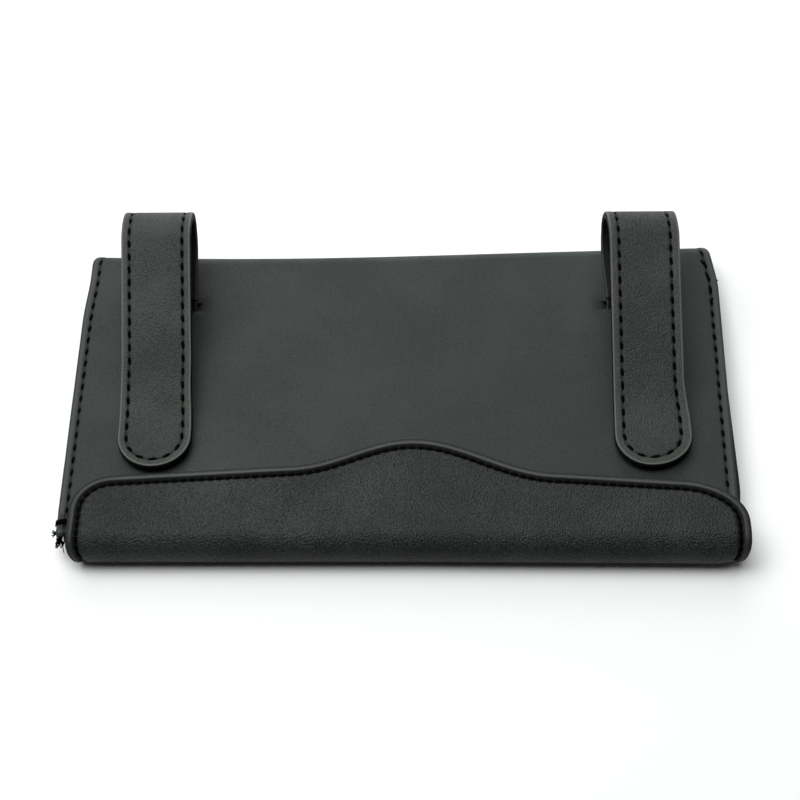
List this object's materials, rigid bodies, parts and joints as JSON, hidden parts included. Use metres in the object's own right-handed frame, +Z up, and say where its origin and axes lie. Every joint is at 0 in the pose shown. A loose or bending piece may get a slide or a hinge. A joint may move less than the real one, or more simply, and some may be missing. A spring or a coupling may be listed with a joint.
{
  "type": "sun visor tissue holder",
  "caption": "Flat leather wallet for a pack of tissues, with two peel-back visor straps on its back and a wavy flap that rolls over one edge to close it.",
  "frame": {"origin": "on the table, under the middle of the whole object's box, with the holder lying on its front", "axes": "+X right along the holder's width as the picture shows it, +Y away from the viewer towards the far fold and the strap loops, +Z up out of the back panel"},
  "size_m": [0.2284, 0.1274, 0.0386],
  "materials": {
    "smooth_leather": "satin",
    "grained_leather": "satin",
    "strap_leather": "satin",
    "lining_cloth": "matte",
    "board": "matte",
    "magnet": "satin",
    "hook_tape": "matte",
    "loop_tape": "matte"
  },
  "bodies": {
    "case": {"front_cover": "grained_leather", "front_board": "board", "front_lining": "lining_cloth", "far_fold": "smooth_leather", "back_cover": "smooth_leather", "back_board": "board", "back_lining": "lining_cloth", "back_magnet": "magnet", "left_gusset": "smooth_leather", "right_gusset": "smooth_leather", "left_root_outer": "strap_leather", "left_root_lining": "strap_leather", "right_root_outer": "strap_leather", "right_root_lining": "strap_leather", "left_loop_patch": "loop_tape", "right_loop_patch": "loop_tape"},
    "flap_spine": {"spine_cover": "grained_leather", "spine_lining": "lining_cloth"},
    "flap": {"flap_cover": "grained_leather", "flap_board": "board", "flap_lining": "lining_cloth", "flap_magnet": "magnet"},
    "left_curl": {"left_bend_outer": "strap_leather", "left_bend_lining": "strap_leather"},
    "left_strap": {"left_strap_outer": "strap_leather", "left_strap_lining": "strap_leather", "left_hook_patch": "hook_tape"},
    "right_curl": {"right_bend_outer": "strap_leather", "right_bend_lining": "strap_leather"},
    "right_strap": {"right_strap_outer": "strap_leather", "right_strap_lining": "strap_leather", "right_hook_patch": "hook_tape"}
  },
  "joints": [
    {"name": "flap_open", "type": "hinge", "parent": "case", "child": "flap_spine", "pos_m": [0.00165, -0.0617, 0.00205], "axis": [1, 0, 0], "range_deg": [0, 90]},
    {"name": "flap_unroll", "type": "hinge", "parent": "flap_spine", "child": "flap", "pos_m": [0.00165, -0.0617, 0.01195], "axis": [1, 0, 0], "range_deg": [0, 90]},
    {"name": "left_strap_peel", "type": "hinge", "parent": "case", "child": "left_curl", "pos_m": [-0.08615, 0.0623, 0.02183], "axis": [-1, 0, 0], "range_deg": [0, 90]},
    {"name": "left_strap_uncurl", "type": "hinge", "parent": "left_curl", "child": "left_strap", "pos_m": [-0.08615, 0.05707, 0.03745], "axis": [-1, 0, 0], "range_deg": [0, 90]},
    {"name": "right_strap_peel", "type": "hinge", "parent": "case", "child": "right_curl", "pos_m": [0.08285, 0.0623, 0.02183], "axis": [-1, 0, 0], "range_deg": [0, 90]},
    {"name": "right_strap_uncurl", "type": "hinge", "parent": "right_curl", "child": "right_strap", "pos_m": [0.08285, 0.05707, 0.03745], "axis": [-1, 0, 0], "range_deg": [0, 90]}
  ],
  "couplings": [
    {"joint": "flap_unroll", "follows": "flap_open", "ratio": 1},
    {"joint": "left_strap_uncurl", "follows": "left_strap_peel", "ratio": 1},
    {"joint": "right_strap_uncurl", "follows": "right_strap_peel", "ratio": 1}
  ]
}
